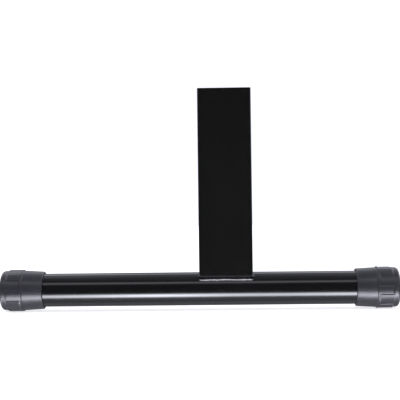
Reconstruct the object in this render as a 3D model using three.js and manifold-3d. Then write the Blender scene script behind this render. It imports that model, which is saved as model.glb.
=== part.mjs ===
// Leg stand of a balance beam: a rectangular steel upright welded across a round foot tube,
// with a ribbed plastic end cap pushed over each end of the foot.
// Millimetres, +Z up, +X along the foot. The origin is on the floor under the middle of the foot.

import * as THREE from "three";
import { mergeVertices } from "three/addons/utils/BufferGeometryUtils.js";
import Module from "manifold-3d";

const wasm = await Module();
wasm.setup();

// ---- Driving dimensions ----
const tubeDiameter = 50; // standard round tube of the foot
const steelWall = 2; // wall of both steel tubes
const tubeShownLength = 467; // foot tube between the two cap rims
const uprightWidth = 80; // standard rectangular tube, its wide side along the foot
const uprightDepth = 40;
const uprightCornerRadius = 3.5;
const uprightRise = 300; // top of the upright above the axis of the foot tube
const uprightOffset = 40.5; // centre of the upright from the middle of the foot, towards +X
const fitGap = 0.3; // space between touching pieces

const capLength = 65;
const capEndWall = 4.7;
const capRimRadius = 28.2;
const capLip = 0.8; // bevel round the rim
const capStepRadius = 29.8; // smooth collar where it meets the grip
const capStepStart = 29.8; // this and the next four are distances from the rim
const capGripStart = 31.2;
const capGripEnd = 52;
const capSlopeEnd = 55;
const pocketStart = 32.8;
const capGripRadius = 31.3; // raised lands of the grip, and the ring that joins them
const capSlopeRadius = 29.9; // outer end of the slope behind the lands
const capTailRadius = 29.5;
const capCornerRadius = 6; // rounded end of the cap, measured across it
const capCornerLength = 5; // and along it
const capPocketRadius = 30.1; // floor of the shallow pockets between the lands
const gripCount = 6; // lands around each cap
const landAngle = 23; // degrees
const rightCapTurn = 5; // degrees that a land is turned down from facing -Y
const leftCapTurn = 15;

const weldReach = 2.7; // how far the bead stands out from the wide face of the upright
const weldTop = 22.9; // top edge of the bead above the axis of the foot tube
const weldOverrun = 4.2; // how far the bead runs past each edge of the upright

const roundSides = 72; // flat sides of everything round
const clearance = 5; // how far a cutting tool passes beyond what it cuts

// ---- Worked-out dimensions ----
const tubeRadius = tubeDiameter / 2;
const gapRadius = tubeRadius + fitGap;
const boreRadius = gapRadius + 0.05; // the caps turn on the tube
const sideAngle = 360 / roundSides;
const axisHeight = capGripRadius * Math.cos(radians(sideAngle / 2)); // the foot rests on a flat side
const tubeLength = tubeShownLength + 2 * (capLength - capEndWall - fitGap);

// ---- Materials ----
const blackPaint = new THREE.MeshStandardMaterial({ color: 0x141416, roughness: 0.18, metalness: 0 });
const weldPaint = new THREE.MeshStandardMaterial({ color: 0x141416, roughness: 0.22, metalness: 0 });
const greyPlastic = new THREE.MeshStandardMaterial({ color: 0x36363b, roughness: 0.5, metalness: 0 });

// ---- Helpers ----
function radians(degrees) {
  return THREE.MathUtils.degToRad(degrees);
}

// Closed three.js geometry as a solid that can be joined and cut.
function solidOf(geometry) {
  const bare = geometry.index ? geometry.toNonIndexed() : geometry.clone();
  bare.deleteAttribute("normal");
  bare.deleteAttribute("uv");
  const merged = mergeVertices(bare, 1e-4);
  return new wasm.Manifold(
    new wasm.Mesh({
      numProp: 3,
      vertProperties: merged.attributes.position.array,
      triVerts: new Uint32Array(merged.index.array),
    }),
  );
}

// Solid as a named mesh.
function meshOf(name, solid, material) {
  const result = solid.getMesh();
  const geometry = new THREE.BufferGeometry();
  geometry.setAttribute("position", new THREE.BufferAttribute(result.vertProperties, 3));
  geometry.setIndex(new THREE.BufferAttribute(result.triVerts, 1));
  geometry.computeVertexNormals();
  const mesh = new THREE.Mesh(geometry, material);
  mesh.name = name;
  return mesh;
}

// Profile of [distance along +X, radius] points turned about the X axis.
// A flat side faces each whole multiple of the side angle.
function turned(profile) {
  const points = profile.map(([along, radius]) => new THREE.Vector2(radius, along));
  const geometry = new THREE.LatheGeometry(points, roundSides, radians(sideAngle / 2));
  return solidOf(geometry.rotateZ(-Math.PI / 2));
}

// Solid round bar about the X axis.
function bar(radius, from, to) {
  return turned([[from, 0], [from, radius], [to, radius], [to, 0]]);
}

// Rectangle with rounded corners, centred on the origin.
function roundedRectangle(PathClass, width, depth, radius) {
  const x = width / 2 - radius;
  const y = depth / 2 - radius;
  const path = new PathClass();
  path.absarc(x, y, radius, 0, Math.PI / 2);
  path.absarc(-x, y, radius, Math.PI / 2, Math.PI);
  path.absarc(-x, -y, radius, Math.PI, 1.5 * Math.PI);
  path.absarc(x, -y, radius, 1.5 * Math.PI, 2 * Math.PI);
  path.closePath();
  return path;
}

// Block between two corners.
function block(low, high) {
  const geometry = new THREE.BoxGeometry(high[0] - low[0], high[1] - low[1], high[2] - low[2]);
  geometry.translate((low[0] + high[0]) / 2, (low[1] + high[1]) / 2, (low[2] + high[2]) / 2);
  return solidOf(geometry);
}

// Part of a ring about the X axis: a sector of the given width centred on one angle from -Y.
function ringSector(innerRadius, outerRadius, width, angle, from, to) {
  const half = radians(width / 2);
  const shape = new THREE.Shape();
  shape.absarc(0, 0, outerRadius, -half, half, false);
  shape.absarc(0, 0, innerRadius, half, -half, true);
  shape.closePath();
  const geometry = new THREE.ExtrudeGeometry(shape, {
    depth: to - from,
    bevelEnabled: false,
    curveSegments: 6,
  });
  geometry.rotateX(Math.PI / 2); // drawing plane to XZ, depth to -Y
  geometry.rotateZ(Math.PI / 2); // depth to +X
  geometry.rotateX(radians(angle));
  geometry.translate(from, 0, 0);
  return solidOf(geometry);
}

// ---- Foot tube ----
function makeFootTube() {
  const outside = bar(tubeRadius, -tubeLength / 2, tubeLength / 2);
  const reach = tubeLength / 2 + clearance;
  const bore = bar(tubeRadius - steelWall, -reach, reach);
  return meshOf("foot_tube", outside.subtract(bore), blackPaint);
}

// ---- Upright: open at the top, saddle-cut to sit over the foot tube ----
function makeUpright() {
  const outline = roundedRectangle(THREE.Shape, uprightWidth, uprightDepth, uprightCornerRadius);
  outline.holes.push(
    roundedRectangle(
      THREE.Path,
      uprightWidth - 2 * steelWall,
      uprightDepth - 2 * steelWall,
      uprightCornerRadius - steelWall,
    ),
  );
  const geometry = new THREE.ExtrudeGeometry(outline, {
    depth: uprightRise,
    bevelEnabled: false,
    curveSegments: 4,
  });
  const saddle = bar(gapRadius, -uprightWidth, uprightWidth);
  const belowSaddle = block(
    [-uprightWidth, -uprightDepth, -clearance],
    [uprightWidth, uprightDepth, gapRadius / 2],
  );
  return meshOf("upright", solidOf(geometry).subtract(saddle).subtract(belowSaddle), blackPaint);
}

// ---- Weld beads ----
// Rounded bead between a wide face of the upright and the foot tube, run a little past both edges.
// side is -1 on the front face and 1 on the rear face.
function makeWeld(name, side) {
  const face = uprightDepth / 2 + fitGap;
  const outer = face + weldReach;
  const toe = Math.sqrt(gapRadius ** 2 - face ** 2);
  const length = uprightWidth + 2 * weldOverrun;
  const shape = new THREE.Shape();
  shape.moveTo(face, 0);
  shape.lineTo(face + weldReach / 3, toe - weldReach / 3);
  shape.quadraticCurveTo(outer, (2 * toe + weldTop) / 3, outer, (toe + weldTop) / 2);
  shape.quadraticCurveTo(outer, weldTop - weldReach / 2, face, weldTop);
  shape.closePath();
  const geometry = new THREE.ExtrudeGeometry(shape, {
    depth: length,
    bevelEnabled: false,
    curveSegments: 4,
  });
  geometry.rotateX(Math.PI / 2); // drawing plane to XZ, length to -Y
  geometry.rotateZ(Math.PI / 2); // drawing plane to YZ, length to +X
  geometry.translate(-length / 2, 0, 0);
  if (side < 0) geometry.rotateZ(Math.PI);
  const saddle = bar(gapRadius, -length, length);
  return meshOf(name, solidOf(geometry).subtract(saddle), weldPaint);
}

// ---- End cap ----
// Made along +X from its rim. Its lands are centred on -Y and every sixth of a turn from it.
function makeEndCap(name) {
  const cornerStart = capLength - capCornerRadius;
  const outline = [
    [0, 0],
    [0, capRimRadius - capLip],
    [capLip, capRimRadius],
    [capStepStart, capStepRadius],
    [capGripStart, capGripRadius],
    [capGripEnd, capGripRadius],
    [capSlopeEnd, capSlopeRadius],
    [cornerStart, capTailRadius],
  ];
  // Round corner, then a shallow dome to the axis.
  const cornerSteps = 4;
  for (let i = 1; i <= cornerSteps; i++) {
    const turn = (i / cornerSteps) * (Math.PI / 2);
    outline.push([
      cornerStart + capCornerLength * Math.sin(turn),
      capTailRadius - capCornerRadius * (1 - Math.cos(turn)),
    ]);
  }
  outline.push([capLength, 0]);

  let cap = turned(outline);
  const pitch = 360 / gripCount;
  const pocketOuter = capGripRadius + clearance;
  for (let i = 0; i < gripCount; i++) {
    const angle = (i + 0.5) * pitch;
    const width = pitch - landAngle;
    cap = cap.subtract(ringSector(capPocketRadius, pocketOuter, width, angle, pocketStart, capSlopeEnd));
  }
  const bore = bar(boreRadius, -clearance, capLength - capEndWall);
  return meshOf(name, cap.subtract(bore), greyPlastic);
}

// ---- Assembly ----
const foot = new THREE.Group();
foot.position.set(0, 0, axisHeight);
foot.add(makeFootTube());

const rightCap = makeEndCap("end_cap_right");
rightCap.position.x = tubeShownLength / 2;
rightCap.rotation.x = radians(rightCapTurn);
foot.add(rightCap);

const leftCap = makeEndCap("end_cap_left");
leftCap.position.x = -tubeShownLength / 2;
leftCap.rotation.set(radians(leftCapTurn), 0, Math.PI);
foot.add(leftCap);

const post = new THREE.Group();
post.position.set(uprightOffset, 0, axisHeight);
post.add(makeUpright());
post.add(makeWeld("weld_front", -1));
post.add(makeWeld("weld_rear", 1));

const group = new THREE.Group();
group.add(foot, post);

export default group;
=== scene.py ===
import math
import random

import bmesh
import bpy
from mathutils import Matrix, Vector, noise


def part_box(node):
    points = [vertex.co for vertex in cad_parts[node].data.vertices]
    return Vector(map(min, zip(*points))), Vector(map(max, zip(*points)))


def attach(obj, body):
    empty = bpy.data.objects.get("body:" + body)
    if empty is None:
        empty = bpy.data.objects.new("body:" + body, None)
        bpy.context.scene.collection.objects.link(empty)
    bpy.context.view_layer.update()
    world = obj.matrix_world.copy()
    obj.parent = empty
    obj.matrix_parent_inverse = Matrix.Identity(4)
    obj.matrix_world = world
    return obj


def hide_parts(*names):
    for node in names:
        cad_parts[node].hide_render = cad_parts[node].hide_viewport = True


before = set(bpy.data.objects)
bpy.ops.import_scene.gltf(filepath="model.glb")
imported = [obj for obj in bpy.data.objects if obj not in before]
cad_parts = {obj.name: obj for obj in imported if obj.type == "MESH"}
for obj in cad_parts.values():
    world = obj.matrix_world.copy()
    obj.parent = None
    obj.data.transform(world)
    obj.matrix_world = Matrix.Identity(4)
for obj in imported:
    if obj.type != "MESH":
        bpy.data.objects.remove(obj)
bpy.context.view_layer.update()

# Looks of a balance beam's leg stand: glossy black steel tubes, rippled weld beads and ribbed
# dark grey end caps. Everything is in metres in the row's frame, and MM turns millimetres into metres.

MM = 0.001

# ---- Places taken from the frame ----
tube_low, tube_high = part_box("foot_tube")
post_low, post_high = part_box("upright")
_, left_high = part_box("end_cap_left")
right_low, right_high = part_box("end_cap_right")

AXIS_Z = (tube_low[2] + tube_high[2]) / 2
TUBE_R = (tube_high[1] - tube_low[1]) / 2
POST_X = (post_low[0] + post_high[0]) / 2
POST_HALF_W = (post_high[0] - post_low[0]) / 2
POST_HALF_D = (post_high[1] - post_low[1]) / 2
POST_TOP = post_high[2]
CAP_LENGTH = right_high[0] - right_low[0]
GRIP_R = AXIS_Z - right_low[2]

WALL = 2.0 * MM
CORNER_R = 3.5 * MM


# ---- Mesh helpers ----
def finish_mesh(name, bm, sharp_angle=None):
    """bmesh to a smooth-shaded object at the origin."""
    bmesh.ops.recalc_face_normals(bm, faces=bm.faces)
    mesh = bpy.data.meshes.new(name)
    bm.to_mesh(mesh)
    bm.free()
    mesh.shade_smooth()
    if sharp_angle is not None:
        mesh.set_sharp_from_angle(angle=math.radians(sharp_angle))
    piece = bpy.data.objects.new(name, mesh)
    bpy.context.scene.collection.objects.link(piece)
    return piece


def loft(bm, rings, closed=False, ends=False):
    """Quads between closed rings of points. closed joins the last ring to the first, ends fills both."""
    made = [[bm.verts.new(point) for point in ring] for ring in rings]
    pairs = list(zip(made, made[1:]))
    if closed:
        pairs.append((made[-1], made[0]))
    for a, b in pairs:
        for i in range(len(a)):
            j = (i + 1) % len(a)
            bm.faces.new((a[i], a[j], b[j], b[i]))
    if ends:
        bm.faces.new(made[0])
        bm.faces.new(list(reversed(made[-1])))


def turn_about_axis(x, radius, angle):
    """Point on the foot's axis system: angle 0 faces -Y and grows downwards, towards -Z."""
    return Vector((x, -radius * math.cos(angle), AXIS_Z - radius * math.sin(angle)))


def smooth_step(low, high, value):
    t = min(max((value - low) / (high - low), 0.0), 1.0)
    return t * t * (3 - 2 * t)


def bevel_step(low, high, value):
    """Nearly straight rise from 0 to 1."""
    t = min(max((value - low) / (high - low), 0.0), 1.0)
    return 0.7 * t + 0.3 * smooth_step(0.0, 1.0, t)


# ---- Foot tube ----
def make_foot_tube():
    half = (tube_high[0] - tube_low[0]) / 2
    chamfer = 0.3 * MM
    bore = TUBE_R - WALL
    profile = [
        (-half, bore + chamfer),
        (-half, TUBE_R - chamfer),
        (-half + chamfer, TUBE_R),
        (half - chamfer, TUBE_R),
        (half, TUBE_R - chamfer),
        (half, bore + chamfer),
        (half - chamfer, bore),
        (-half + chamfer, bore),
    ]
    sides = 256
    rings = [
        [turn_about_axis(x, radius, 2 * math.pi * i / sides) for x, radius in profile]
        for i in range(sides)
    ]
    bm = bmesh.new()
    loft(bm, rings, closed=True)
    return finish_mesh("foot_tube_painted", bm, sharp_angle=30)


# ---- Upright ----
def post_outline(inset):
    """Outline of the rectangular tube, moved in by inset, as (x, y) points."""
    corner = CORNER_R - inset
    x_flat = POST_HALF_W - CORNER_R
    y_flat = POST_HALF_D - CORNER_R
    arc_steps = 10
    flat_step = 1.5 * MM
    support = 0.25 * MM  # keeps the flat faces flat in the shading next to the corner arcs
    points = []
    centres = [(x_flat, y_flat), (-x_flat, y_flat), (-x_flat, -y_flat), (x_flat, -y_flat)]
    for quarter, (cx, cy) in enumerate(centres):
        start = quarter * math.pi / 2
        for i in range(arc_steps + 1):
            a = start + (math.pi / 2) * i / arc_steps
            points.append((cx + corner * math.cos(a), cy + corner * math.sin(a)))
        # Flat stretch to the next corner.
        nx, ny = centres[(quarter + 1) % 4]
        a = start + math.pi / 2
        ox, oy = corner * math.cos(a), corner * math.sin(a)
        length = math.hypot(nx - cx, ny - cy)
        steps = max(int(length / flat_step), 2)
        along = [support / length] + [i / steps for i in range(1, steps)] + [1 - support / length]
        points += [(cx + (nx - cx) * t + ox, cy + (ny - cy) * t + oy) for t in along]
    return points


def saddle_z(y, lift=0.0):
    """Height of the foot tube's surface under a point of the upright."""
    radius = TUBE_R + lift
    return AXIS_Z + math.sqrt(max(radius * radius - y * y, 0.0))


def make_upright():
    edge = 0.25 * MM
    outer = post_outline(0.0)
    eased = post_outline(edge)
    inner_eased = post_outline(WALL - edge)
    inner = post_outline(WALL)
    levels = 14
    above_saddle = 4 * MM
    low = AXIS_Z + TUBE_R + above_saddle
    heights = [low + (POST_TOP - edge - low) * i / levels for i in range(levels + 1)]

    def ring(outline, z):
        return [Vector((POST_X + x, y, z)) for x, y in outline]

    def foot_ring(outline):
        return [Vector((POST_X + x, y, saddle_z(y))) for x, y in outline]

    rings = [foot_ring(outer)] + [ring(outer, z) for z in heights]
    rings += [ring(eased, POST_TOP), ring(inner_eased, POST_TOP)]
    rings += [ring(inner, z) for z in reversed(heights)] + [foot_ring(inner)]
    bm = bmesh.new()
    loft(bm, rings, closed=True)
    return finish_mesh("upright_painted", bm, sharp_angle=40)


# ---- Weld beads ----
BEAD_R = 6.5 * MM       # radius of the bead's round face
BEAD_OUT = 3.0 * MM     # how far it stands out from the upright
BEAD_MID = 16.7 * MM    # height of its fullest line above the foot's axis
BEAD_LOW_ANGLE = 52     # degrees that its round face runs below level
BEAD_PAST_CORNER = 1.0 * MM
BEAD_TAPER = 4.5 * MM   # length over which each end thins out
END_HEIGHT = 0.35       # share of its height that an end keeps
RIPPLE_PITCH = 2.4 * MM
RIPPLE_BOW = 1.1        # how far the ripples bow, in pitches
RIPPLE_HEIGHT = 0.13 * MM
GRAIN_HEIGHT = 0.16 * MM
WANDER_HEIGHT = 0.65 * MM
SWELL_SHARE = 0.10      # of the bead's radius
DIP_SHARE = 0.12        # of how far it stands out
BEAD_SINK = 0.35 * MM   # how far its lowest points go into the foot tube
SIDE_LIFT = 0.3         # share of the foot tube's rise that the bead follows beside the upright


def bead_path(distance, side):
    """Point on the plan path of a bead and its outward direction, at a distance from the middle.

    The path follows the wide face, turns round the upright's corner and stops beside it.
    """
    sign = 1.0 if distance >= 0 else -1.0
    left = abs(distance)
    flat = POST_HALF_W - CORNER_R
    if left <= flat:
        return Vector((sign * left, side * POST_HALF_D)), Vector((0.0, side))
    turn = (left - flat) / CORNER_R
    turn = min(turn, math.pi / 2)
    beyond = max(left - flat - CORNER_R * math.pi / 2, 0.0)
    centre = Vector((sign * flat, side * (POST_HALF_D - CORNER_R)))
    normal = Vector((sign * math.sin(turn), side * math.cos(turn)))
    tangent = Vector((0.0, -side))
    return centre + normal * CORNER_R + tangent * beyond, normal


def make_weld(name, side, seed):
    """A hand-laid bead along one wide face of the upright, wrapped a little round both corners."""
    corner = CORNER_R * math.pi / 2
    half_run = POST_HALF_W - CORNER_R + corner + BEAD_PAST_CORNER
    step = 0.3 * MM
    stations = int(2 * half_run / step)
    across = 26
    rings = []
    for i in range(stations + 1):
        distance = -half_run + 2 * half_run * i / stations
        plan, normal = bead_path(distance, side)
        from_end = half_run - abs(distance)
        fullness = math.sqrt(max(1 - (1 - min(from_end / BEAD_TAPER, 1.0)) ** 2, 0.0))
        # The hand wanders: slow waves up and down, in and out.
        wander = noise.noise(Vector((distance * 95, seed, 0.0)))
        swell = noise.noise(Vector((distance * 150, seed + 7.0, 3.0)))
        dip = noise.noise(Vector((distance * 60, seed + 15.0, 8.0)))
        radius = BEAD_R * (1 + SWELL_SHARE * swell)
        out = BEAD_OUT * (1 + DIP_SHARE * dip)
        middle = BEAD_MID + WANDER_HEIGHT * wander
        centre_in = radius - out
        top = math.acos(min(centre_in / radius, 1.0))
        low = -math.radians(BEAD_LOW_ANGLE)
        ring = []
        for j in range(across + 1):
            t = j / across
            tilt = top + (low - top) * t
            phase = (distance + half_run) / RIPPLE_PITCH - RIPPLE_BOW * (2 * t - 1) ** 2
            crest = 0.5 + 0.5 * math.cos(2 * math.pi * phase)
            fade = math.sin(math.pi * t)
            grain = noise.noise(Vector((distance * 430, t * 4.0, seed + 20.0)))
            bump = (RIPPLE_HEIGHT * crest + GRAIN_HEIGHT * grain) * fade
            away = (radius * math.cos(tilt) - centre_in + bump) * fullness
            height = END_HEIGHT + (1 - END_HEIGHT) * fullness
            rise = middle + (radius + bump) * math.sin(tilt) * height
            ring.append((away, rise))
        # Root, buried in the joint between the two tubes.
        ring.append((-0.6 * MM, ring[-1][1] - 0.8 * MM))
        ring.append((-0.9 * MM, middle))
        ring.append((-0.6 * MM, ring[0][1] - 0.2 * MM))
        points = []
        for away, rise in ring:
            spot = plan + normal * away
            # Beyond the corner the bead lies on the foot tube, which rises towards its top.
            floor = saddle_z(spot.y) - AXIS_Z - BEAD_SINK
            lift = max(saddle_z(plan.y) - saddle_z(side * POST_HALF_D), 0.0)
            height = max(rise + SIDE_LIFT * lift, floor)
            points.append(Vector((POST_X + spot.x, spot.y, AXIS_Z + height)))
        rings.append(points)
    bm = bmesh.new()
    loft(bm, rings, ends=True)
    return finish_mesh(name, bm, sharp_angle=70)


def add_bead_drop(bm, centre, outward, radius):
    """Low round drop of metal stuck to a surface."""
    across = outward.orthogonal().normalized()
    along = outward.cross(across)
    segments = 24
    rows = 8
    lowest = -0.35    # radians round the drop's profile
    profile = 1.85
    flatness = 0.75
    rings = []
    for row in range(rows):
        tilt = lowest + profile * row / (rows - 1)
        reach = radius * math.cos(tilt)
        rise = outward * (flatness * radius * math.sin(tilt))
        rings.append([
            centre + rise + (across * math.cos(k) + along * math.sin(k)) * reach
            for k in (2 * math.pi * i / segments for i in range(segments))
        ])
    loft(bm, rings, ends=True)


def make_spatter():
    """Drops of weld metal under the paint, on the wide faces just above the beads."""
    rng = random.Random(41)
    small_drops = 7
    spread = 0.86  # of the upright's half width
    bm = bmesh.new()
    drops = [(-24.2 * MM, 23.9 * MM, 0.95 * MM), (28.6 * MM, 23.9 * MM, 0.85 * MM)]
    for side in (-1, 1):
        for x, rise, radius in drops:
            spot = Vector((POST_X - side * x, side * POST_HALF_D, AXIS_Z + rise))
            add_bead_drop(bm, spot, Vector((0, side, 0)), radius)
        for _ in range(small_drops):
            x = rng.uniform(-spread, spread) * POST_HALF_W
            spot = Vector((POST_X + x, side * POST_HALF_D, AXIS_Z + rng.uniform(23.6, 31) * MM))
            add_bead_drop(bm, spot, Vector((0, side, 0)), rng.uniform(0.2, 0.42) * MM)
    return finish_mesh("weld_spatter", bm)


# ---- End caps ----
RIM_R = 28.2 * MM
COLLAR_R = 29.8 * MM
COLLAR_END = 29.8 * MM
POCKET_R = 30.1 * MM
TAIL_R = 29.5 * MM
BORE_R = TUBE_R + 0.35 * MM
GRIP_COUNT = 6
LAND_HALF = math.radians(9.3)
BEVEL_WIDTH = 2.8 * MM  # sloped walls of the pockets
POCKET_FROM = 32.2 * MM
POCKET_TO = 57.6 * MM
POCKET_CORNER = 3.4 * MM
GRIP_FROM = 29.8 * MM   # step from the collar up to the grip
GRIP_FULL = 31.1 * MM
SLOPE_FROM = 51.8 * MM  # slope from the grip down to the tail
SLOPE_TO = 55.2 * MM
TAIL_FROM = 53 * MM
TAIL_RISE = 0.4 * MM
LIP_LENGTH = 1.6 * MM
LIP_DEPTH = 1.5 * MM
END_WALL = 4.7 * MM
DOME_HEIGHT = 1.0 * MM
CORNER_START = CAP_LENGTH - 6 * MM
CORNER_LENGTH = 5.0 * MM
CORNER_DROP = 6.0 * MM
STEPS_PER_PITCH = 132   # fine enough to carry the pocket walls
RIGHT_CAP_TURN = math.radians(5)
LEFT_CAP_TURN = math.radians(15)


def rounded_edge(outside, radius, depth):
    """Depth below a flat with a rounded edge, at a distance past where the edge begins."""
    t = min(max(outside / radius, 0.0), 1.0)
    return depth * (1 - math.sqrt(1 - t * t))


def cap_radius(x, angle):
    """Radius of the cap's outside at distance x from the rim. Lands lie at angle 0 and every pitch."""
    collar = RIM_R + (COLLAR_R - RIM_R) * min(x / COLLAR_END, 1.0)
    # Rounded lip at the rim.
    collar -= rounded_edge(LIP_LENGTH - x, LIP_LENGTH, LIP_DEPTH)
    tail = TAIL_R + TAIL_RISE - TAIL_RISE * smooth_step(TAIL_FROM, CORNER_START, x)
    behind = smooth_step(SLOPE_FROM, SLOPE_TO, x)
    land = GRIP_R + (tail - GRIP_R) * behind
    radius = collar + (land - collar) * smooth_step(GRIP_FROM, GRIP_FULL, x)
    # Distance outside a pocket's rounded rectangle: negative inside it.
    pitch = 2 * math.pi / GRIP_COUNT
    from_middle = abs((angle % pitch) - pitch / 2)
    half_width = (pitch / 2 - LAND_HALF) * GRIP_R
    half_length = (POCKET_TO - POCKET_FROM) / 2
    dx = abs(x - (POCKET_FROM + POCKET_TO) / 2) - (half_length - POCKET_CORNER)
    dy = from_middle * GRIP_R - (half_width - POCKET_CORNER)
    outside = math.hypot(max(dx, 0.0), max(dy, 0.0)) + min(max(dx, dy), 0.0) - POCKET_CORNER
    if radius > POCKET_R:
        radius += (POCKET_R - radius) * bevel_step(0.0, BEVEL_WIDTH, -outside)
    return radius


def make_end_cap(name, rim_x, way, turn):
    """way is the direction of the cap's outer end along X, turn the angle of a land's middle."""
    sides = GRIP_COUNT * STEPS_PER_PITCH
    angles = [2 * math.pi * i / sides for i in range(sides)]
    xs = [0.0, 0.08 * MM, 0.2 * MM, 0.4 * MM, 0.7 * MM, 1.1 * MM, 1.6 * MM, 2.0 * MM]
    xs += [(4.5 + 2.6 * i) * MM for i in range(9)]
    xs += [(28.0 + 0.3 * i) * MM for i in range(200)]
    xs = [x for x in xs if x < CORNER_START - 0.1 * MM]
    bore_end = CAP_LENGTH - END_WALL
    inside = [
        (bore_end, 0.5 * MM), (bore_end, BORE_R - 0.6 * MM), (bore_end - 0.6 * MM, BORE_R),
        (20 * MM, BORE_R), (0.5 * MM, BORE_R), (0.0, BORE_R + 0.4 * MM),
    ]

    def ring(x, radius_of):
        return [turn_about_axis(rim_x + way * x, radius_of(a), a + turn) for a in angles]

    rings = [ring(x, lambda a, r=radius: r) for x, radius in inside]
    rings += [ring(x, lambda a, x=x: cap_radius(x, a)) for x in xs]
    # Round corner and shallow dome. The pockets' ends fade out into the corner.
    corner_steps = 16
    for i in range(corner_steps + 1):
        a = (math.pi / 2) * i / corner_steps
        x = CORNER_START + CORNER_LENGTH * math.sin(a)
        drop = CORNER_DROP * (1 - math.cos(a))
        rings.append(ring(x, lambda b, x=x, d=drop: cap_radius(x, b) - d))
    rim = TAIL_R - CORNER_DROP
    dome_steps = 8
    for i in range(1, dome_steps):
        r = rim * (1 - i / dome_steps)
        x = CAP_LENGTH - DOME_HEIGHT * (r / rim) ** 2
        rings.append(ring(x, lambda a, r=r: r))
    bm = bmesh.new()
    loft(bm, rings, ends=True)
    return finish_mesh(name, bm, sharp_angle=50)


# ---- Materials ----
def new_material(name):
    material = bpy.data.materials.new(name)
    material.use_nodes = True
    nodes = material.node_tree.nodes
    links = material.node_tree.links
    shader = nodes["Principled BSDF"]
    return material, nodes, links, shader


def add_node(nodes, kind, **values):
    node = nodes.new(kind)
    for key, value in values.items():
        if key in node.inputs:
            node.inputs[key].default_value = value
        else:
            setattr(node, key, value)
    return node


def ramp(nodes, links, source, stops):
    """Colour ramp on a value, with grey stops as (position, grey) or (position, (r, g, b))."""
    node = nodes.new("ShaderNodeValToRGB")
    while len(node.color_ramp.elements) < len(stops):
        node.color_ramp.elements.new(0.5)
    for element, (position, colour) in zip(node.color_ramp.elements, stops):
        element.position = position
        if not isinstance(colour, tuple):
            colour = (colour, colour, colour)
        element.color = (*colour, 1.0)
    links.new(source, node.inputs["Fac"])
    return node


def gloss_paint(name, base, roughness, peel):
    """Black stove paint: nearly black, glossy, with fine orange peel, faint haze and dust nibs."""
    material, nodes, links, shader = new_material(name)
    coords = add_node(nodes, "ShaderNodeTexCoord")
    place = coords.outputs["Object"]
    haze = add_node(nodes, "ShaderNodeTexNoise", Scale=14.0, Detail=4.0, Roughness=0.6)
    links.new(place, haze.inputs["Vector"])
    tint = ramp(nodes, links, haze.outputs["Fac"], [
        (0.3, tuple(c * 0.85 for c in base)), (0.7, tuple(c * 1.2 for c in base))])
    links.new(tint.outputs["Color"], shader.inputs["Base Color"])
    rub = add_node(nodes, "ShaderNodeTexNoise", Scale=55.0, Detail=6.0, Roughness=0.65)
    links.new(place, rub.inputs["Vector"])
    rough = ramp(nodes, links, rub.outputs["Fac"], [
        (0.3, roughness * 0.88), (0.62, roughness * 1.08), (0.8, roughness * 1.3)])
    links.new(rough.outputs["Color"], shader.inputs["Roughness"])
    peel_noise = add_node(nodes, "ShaderNodeTexNoise", Scale=420.0, Detail=2.0, Roughness=0.5)
    links.new(place, peel_noise.inputs["Vector"])
    peel_bump = add_node(nodes, "ShaderNodeBump", Strength=peel, Distance=0.06 * MM)
    links.new(peel_noise.outputs["Fac"], peel_bump.inputs["Height"])
    nibs = add_node(nodes, "ShaderNodeTexVoronoi", Scale=130.0)
    links.new(place, nibs.inputs["Vector"])
    nib_shape = ramp(nodes, links, nibs.outputs["Distance"], [(0.0, 1.0), (0.07, 0.0)])
    nib_bump = add_node(nodes, "ShaderNodeBump", Strength=0.25, Distance=0.08 * MM)
    links.new(nib_shape.outputs["Color"], nib_bump.inputs["Height"])
    links.new(peel_bump.outputs["Normal"], nib_bump.inputs["Normal"])
    links.new(nib_bump.outputs["Normal"], shader.inputs["Normal"])
    shader.inputs["IOR"].default_value = 1.52
    return material


def moulded_plastic(name):
    """Dark grey moulded plastic: satin, finely grained, a little paler on its convex edges, partly from rub
    wear and partly as a painted highlight.
    """
    material, nodes, links, shader = new_material(name)
    coords = add_node(nodes, "ShaderNodeTexCoord")
    place = coords.outputs["Object"]
    cloud = add_node(nodes, "ShaderNodeTexNoise", Scale=38.0, Detail=5.0, Roughness=0.6)
    links.new(place, cloud.inputs["Vector"])
    base = ramp(nodes, links, cloud.outputs["Fac"], [
        (0.3, (0.020, 0.020, 0.024)), (0.55, (0.026, 0.026, 0.031)), (0.8, (0.033, 0.033, 0.038))])
    # Paler convex edges: partly rub wear, partly a painted highlight (sheen) along the edges.
    edge_wear_and_sheen = ramp(nodes, links, add_node(nodes, "ShaderNodeNewGeometry").outputs["Pointiness"], [
        (0.505, 0.0), (0.56, 0.45)])
    worn_and_sheen = add_node(nodes, "ShaderNodeMix", data_type="RGBA")
    links.new(edge_wear_and_sheen.outputs["Color"], worn_and_sheen.inputs["Factor"])
    links.new(base.outputs["Color"], worn_and_sheen.inputs["A"])
    worn_and_sheen.inputs["B"].default_value = (0.055, 0.055, 0.062, 1.0)
    links.new(worn_and_sheen.outputs["Result"], shader.inputs["Base Color"])
    patch = add_node(nodes, "ShaderNodeTexNoise", Scale=90.0, Detail=4.0, Roughness=0.6)
    links.new(place, patch.inputs["Vector"])
    rough = ramp(nodes, links, patch.outputs["Fac"], [(0.3, 0.29), (0.7, 0.37)])
    links.new(rough.outputs["Color"], shader.inputs["Roughness"])
    grain = add_node(nodes, "ShaderNodeTexNoise", Scale=1500.0, Detail=3.0, Roughness=0.6)
    links.new(place, grain.inputs["Vector"])
    bump = add_node(nodes, "ShaderNodeBump", Strength=0.35, Distance=0.05 * MM)
    links.new(grain.outputs["Fac"], bump.inputs["Height"])
    links.new(bump.outputs["Normal"], shader.inputs["Normal"])
    shader.inputs["IOR"].default_value = 1.5
    return material


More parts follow.
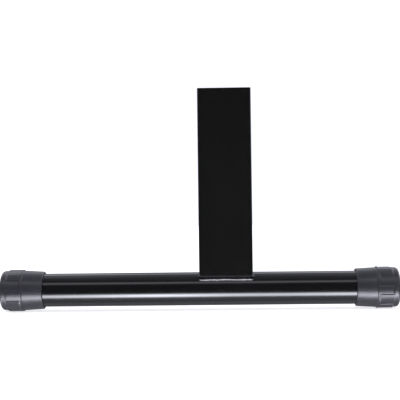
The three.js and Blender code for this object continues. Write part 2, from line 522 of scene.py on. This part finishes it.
def floor_material():
    material, nodes, links, shader = new_material("pale_floor")
    coords = add_node(nodes, "ShaderNodeTexCoord")
    mottling = add_node(nodes, "ShaderNodeTexNoise", Scale=3.0, Detail=3.0)
    links.new(coords.outputs["Object"], mottling.inputs["Vector"])
    tint = ramp(nodes, links, mottling.outputs["Fac"], [(0.3, 0.86), (0.7, 0.88)])
    links.new(tint.outputs["Color"], shader.inputs["Base Color"])
    shader.inputs["Roughness"].default_value = 0.9
    shader.inputs["Specular IOR Level"].default_value = 0.1
    shader.inputs["Emission Color"].default_value = (1.0, 1.0, 1.0, 1.0)
    shader.inputs["Emission Strength"].default_value = 0.62
    return material


# ---- Build ----
foot_tube = make_foot_tube()
upright = make_upright()

welds = {
    "weld_front": make_weld("weld_front_bead", -1, 1.7),
    "weld_rear": make_weld("weld_rear_bead", 1, 9.4),
}
spatter = make_spatter()

caps = {
    "left": make_end_cap("end_cap_left_moulded", left_high[0], -1, LEFT_CAP_TURN),
    "right": make_end_cap("end_cap_right_moulded", right_low[0], 1, RIGHT_CAP_TURN),
}

tube_paint = gloss_paint("foot_tube_gloss_black", (0.0045, 0.0045, 0.0050), roughness=0.16, peel=0.22)
post_paint = gloss_paint("upright_gloss_black", (0.0036, 0.0036, 0.0034), roughness=0.20, peel=0.22)
weld_paint = gloss_paint("weld_gloss_black", (0.0050, 0.0050, 0.0054), roughness=0.17, peel=0.35)
plastic = moulded_plastic("end_cap_satin_grey")


def place_piece(piece, material, body, slot_name, *nodes):
    piece.data.materials.append(material)
    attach(piece, body)
    if nodes:
        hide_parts(*nodes)


place_piece(foot_tube, tube_paint, "stand", "foot_tube", "foot_tube")
place_piece(upright, post_paint, "stand", "upright", "upright")
for node, bead in welds.items():
    place_piece(bead, weld_paint, "stand", "weld", node)
place_piece(spatter, weld_paint, "stand", "weld")
place_piece(caps["left"], plastic, "cap_left", "end_cap", "end_cap_left")
place_piece(caps["right"], plastic, "cap_right", "end_cap", "end_cap_right")


# ---- Floor, light and camera ----
def make_floor():
    bm = bmesh.new()
    bmesh.ops.create_grid(bm, x_segments=8, y_segments=8, size=8.0)
    mesh = bpy.data.meshes.new("floor")
    bm.to_mesh(mesh)
    bm.free()
    floor = bpy.data.objects.new("floor", mesh)
    bpy.context.scene.collection.objects.link(floor)
    mesh.materials.append(floor_material())
    floor.visible_glossy = False  # so that the gloss can reflect the low panel below it


def math_node(tree, operation, a, b=0.0, c=0.0):
    node = tree.nodes.new("ShaderNodeMath")
    node.operation = operation
    for socket, value in zip(node.inputs, (a, b, c)):
        if isinstance(value, (int, float)):
            socket.default_value = value
        else:
            tree.links.new(value, socket)
    return node.outputs[0]


def window(tree, value, low, high, soft):
    """1 between low and high, easing to 0 over soft at each side."""
    rise = tree.nodes.new("ShaderNodeMapRange")
    fall = tree.nodes.new("ShaderNodeMapRange")
    for node, at in ((rise, low), (fall, high)):
        node.interpolation_type = "SMOOTHSTEP"
        tree.links.new(value, node.inputs["Value"])
        node.inputs["From Min"].default_value = at - soft
        node.inputs["From Max"].default_value = at + soft
    fall.inputs["To Min"].default_value = 1.0
    fall.inputs["To Max"].default_value = 0.0
    return math_node(tree, "MULTIPLY", rise.outputs["Result"], fall.outputs["Result"])


def shape_curve(node, points):
    curve = node.mapping.curves[0]
    while len(curve.points) < len(points):
        curve.points.new(0.5, 0.5)
    for spot, place in zip(curve.points, points):
        spot.location = place
    node.mapping.update()


def sideways_curve(tree, x, points):
    """Curve over the X part of a direction, moved up so that the middle is at 0.5."""
    node = tree.nodes.new("ShaderNodeFloatCurve")
    tree.links.new(math_node(tree, "MULTIPLY_ADD", x, 1.0, 0.5), node.inputs["Value"])
    shape_curve(node, points)
    return node.outputs[0]


# Strengths of the zones that glossy rays see.
STRIP_STRENGTH = 2.2
OVERHEAD_STRENGTH = 0.34
BACK_UPPER_STRENGTH = 0.80
RIGHT_STRENGTH = 0.9
UNDERNEATH_STRENGTH = 0.62
BACK_LOWER_STRENGTH = 0.36
PANEL_STRENGTH = 32.0
PANEL_GLOW_STRENGTH = 1.5
DARK_STRENGTH = 0.07
# Strengths that the other rays see.
DIFFUSE_STRENGTH = 1.12
CAMERA_STRENGTH = 1.32


def make_world():
    """Even white for diffuse and camera rays, and a pattern of its own for glossy rays.

    The pattern is a dark front with a bright panel low down, below floor level, and a thinner strip above.
    """
    world = bpy.data.worlds.new("studio")
    bpy.context.scene.world = world
    world.use_nodes = True
    world.cycles.sampling_method = "NONE"
    tree = world.node_tree
    tree.nodes.clear()
    coords = tree.nodes.new("ShaderNodeTexCoord")
    split = tree.nodes.new("ShaderNodeSeparateXYZ")
    tree.links.new(coords.outputs["Generated"], split.inputs[0])
    x, y, z = split.outputs
    elevation = math_node(tree, "MULTIPLY", math_node(tree, "ARCSINE", z), 180 / math.pi)
    azimuth = math_node(
        tree, "MULTIPLY", math_node(tree, "ARCTAN2", x, math_node(tree, "MULTIPLY", y, -1.0)), 180 / math.pi)

    far = 400.0  # past any angle
    front = window(tree, azimuth, -100.0, 100.0, 15.0)
    back = math_node(tree, "SUBTRACT", 1.0, front)
    # Brightness from left to right, over X directions of -0.5 to 0.5: the low panel, then the upper back.
    panel_sideways = sideways_curve(tree, x, (
        (0.0, 0.38), (0.28, 0.44), (0.37, 0.66), (0.44, 1.0),
        (0.50, 0.50), (0.56, 0.485), (0.64, 0.64), (1.0, 0.48)))
    back_sideways = sideways_curve(tree, x, (
        (0.0, 1.0), (0.28, 1.0), (0.36, 0.85), (0.42, 0.45),
        (0.50, 0.5), (0.56, 0.7), (0.70, 0.75), (1.0, 0.9)))

    overhead = window(tree, elevation, 68.0, far, 14.0)
    back_upper = math_node(tree, "MULTIPLY", back, window(tree, elevation, 8.0, 80.0, 6.0))
    back_upper = math_node(tree, "MULTIPLY", back_upper, back_sideways)
    right_low_zone = math_node(
        tree, "MULTIPLY", window(tree, azimuth, 70.0, 178.0, 10.0), window(tree, elevation, 1.0, 30.0, 2.5))
    underneath = window(tree, elevation, -far, -62.0, 6.0)
    back_lower = math_node(tree, "MULTIPLY", back, window(tree, elevation, -70.0, -6.0, 8.0))
    total = math_node(tree, "MULTIPLY", window(tree, elevation, 41.0, 53.0, 5.0), STRIP_STRENGTH)
    zones = (
        (overhead, OVERHEAD_STRENGTH),
        (back_upper, BACK_UPPER_STRENGTH),
        (right_low_zone, RIGHT_STRENGTH),
        (underneath, UNDERNEATH_STRENGTH),
        (back_lower, BACK_LOWER_STRENGTH),
    )
    for zone, strength in zones:
        total = math_node(tree, "MULTIPLY_ADD", zone, strength, total)
    panel = math_node(tree, "MULTIPLY", window(tree, elevation, -51.0, -32.0, 7.0), PANEL_STRENGTH)
    panel = math_node(
        tree, "MULTIPLY_ADD", window(tree, elevation, -66.0, -24.0, 9.0), PANEL_GLOW_STRENGTH, panel)
    panel = math_node(tree, "MULTIPLY", panel, panel_sideways)
    total = math_node(tree, "MULTIPLY_ADD", panel, front, total)
    gloss = math_node(tree, "ADD", total, DARK_STRENGTH)

    path = tree.nodes.new("ShaderNodeLightPath")
    seen = tree.nodes.new("ShaderNodeMix")
    tree.links.new(path.outputs["Is Camera Ray"], seen.inputs["Factor"])
    seen.inputs["A"].default_value = DIFFUSE_STRENGTH
    seen.inputs["B"].default_value = CAMERA_STRENGTH
    mixed = tree.nodes.new("ShaderNodeMix")
    tree.links.new(path.outputs["Is Glossy Ray"], mixed.inputs["Factor"])
    tree.links.new(seen.outputs["Result"], mixed.inputs["A"])
    tree.links.new(gloss, mixed.inputs["B"])
    background = tree.nodes.new("ShaderNodeBackground")
    background.inputs["Color"].default_value = (0.775, 0.787, 0.868, 1.0)  # daylight lamps, a little blue
    tree.links.new(mixed.outputs["Result"], background.inputs["Strength"])
    output = tree.nodes.new("ShaderNodeOutputWorld")
    tree.links.new(background.outputs[0], output.inputs["Surface"])


def make_softbox():
    light = bpy.data.lights.new("overhead_softbox", "AREA")
    light.shape = "RECTANGLE"
    light.size = 2.4
    light.size_y = 1.6
    light.energy = 8.0
    softbox = bpy.data.objects.new("overhead_softbox", light)
    bpy.context.scene.collection.objects.link(softbox)
    softbox.location = (0.0, 0.0, 2.2)
    softbox.visible_camera = False
    softbox.visible_glossy = False


def make_camera():
    data = bpy.data.cameras.new("camera")
    data.sensor_width = 36.0
    data.lens = 84.2
    data.clip_start = 0.05
    camera = bpy.data.objects.new("camera", data)
    bpy.context.scene.collection.objects.link(camera)
    # In front of the foot, a little to the right of its middle and a hand above it.
    camera.location = (41.6 * MM, -1409.5 * MM, AXIS_Z + 117.1 * MM)
    yaw, pitch, roll = math.radians(-1.583), math.radians(0.665), math.radians(0.699)
    aim = Matrix.Rotation(-yaw, 4, "Z") @ Matrix.Rotation(math.pi / 2 + pitch, 4, "X")
    camera.rotation_mode = "QUATERNION"
    camera.rotation_quaternion = (aim @ Matrix.Rotation(-roll, 4, "Z")).to_quaternion()
    bpy.context.scene.camera = camera


make_floor()
make_world()
make_softbox()
make_camera()
bpy.context.scene.view_settings.view_transform = "Standard"
